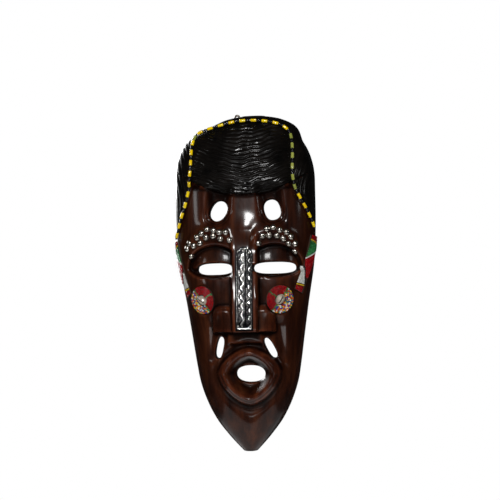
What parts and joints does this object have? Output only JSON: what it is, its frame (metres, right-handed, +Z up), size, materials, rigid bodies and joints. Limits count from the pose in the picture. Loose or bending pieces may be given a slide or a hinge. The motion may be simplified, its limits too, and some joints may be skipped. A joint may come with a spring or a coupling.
{
  "type": "carved wooden mask",
  "caption": "Long carved wooden face mask with beaded crown string, brow tacks, metal nose strip, bead rosettes with cowries and a hinged hanging ring.",
  "frame": {"origin": "the point on the wall where the nail stands, at the top of the hanging ring", "axes": "+Z up the mask, +Y into the wall, the face looks along -Y, +X to the viewer's right"},
  "size_m": [0.1717, 0.0871, 0.4035],
  "materials": {
    "wood": "gloss varnish over dark reddish brown wood",
    "hair": "carved wood stained black, gloss varnish",
    "nose_metal": "thin embossed sheet, dark in the hollows",
    "tack_metal": "polished domed heads",
    "pin_metal": "small nails",
    "thread": "waxed thread",
    "yellow_bead": "opaque glass tube beads",
    "olive_bead": "opaque glass tube beads",
    "black_bead": "opaque glass seed beads",
    "red_bead": "opaque glass seed beads",
    "green_bead": "opaque glass seed beads",
    "white_bead": "opaque glass seed beads",
    "mixed_bead": "opaque glass seed beads of many colours",
    "leather": "thin backing hide",
    "cowrie": "natural cowrie shell",
    "strap_metal": "stamped steel strap",
    "screw_brass": "round-head wood screws",
    "ring_wire": "bent steel wire"
  },
  "bodies": {
    "mask": {"carved_body": "wood", "nose_strip": "nose_metal", "nose_strip_pins": "pin_metal", "brow_tacks_left": "tack_metal", "brow_tacks_right": "tack_metal", "crown_thread": "thread", "crown_beads_yellow": "yellow_bead", "crown_beads_olive": "olive_bead", "crown_beads_black": "black_bead", "band_leather_left": "leather", "band_red_left": "red_bead", "band_green_left": "green_bead", "band_white_left": "white_bead", "band_yellow_left": "yellow_bead", "band_leather_right": "leather", "band_red_right": "red_bead", "band_green_right": "green_bead", "band_white_right": "white_bead", "band_yellow_right": "yellow_bead", "rosette_leather_left": "leather", "rosette_red_left": "red_bead", "rosette_mixed_left": "mixed_bead", "rosette_green_left": "green_bead", "cowrie_left": "cowrie", "rosette_leather_right": "leather", "rosette_red_right": "red_bead", "rosette_mixed_right": "mixed_bead", "rosette_green_right": "green_bead", "cowrie_right": "cowrie", "hanger_strap": "strap_metal", "hanger_screws": "screw_brass"},
    "ring": {"hanger_ring": "ring_wire"}
  },
  "joints": [
    {"name": "ring_hinge", "type": "hinge", "parent": "mask", "child": "ring", "pos_m": [0, -0.00325, -0.0249], "axis": [-1, 0, 0], "range_deg": [0, 160]}
  ]
}
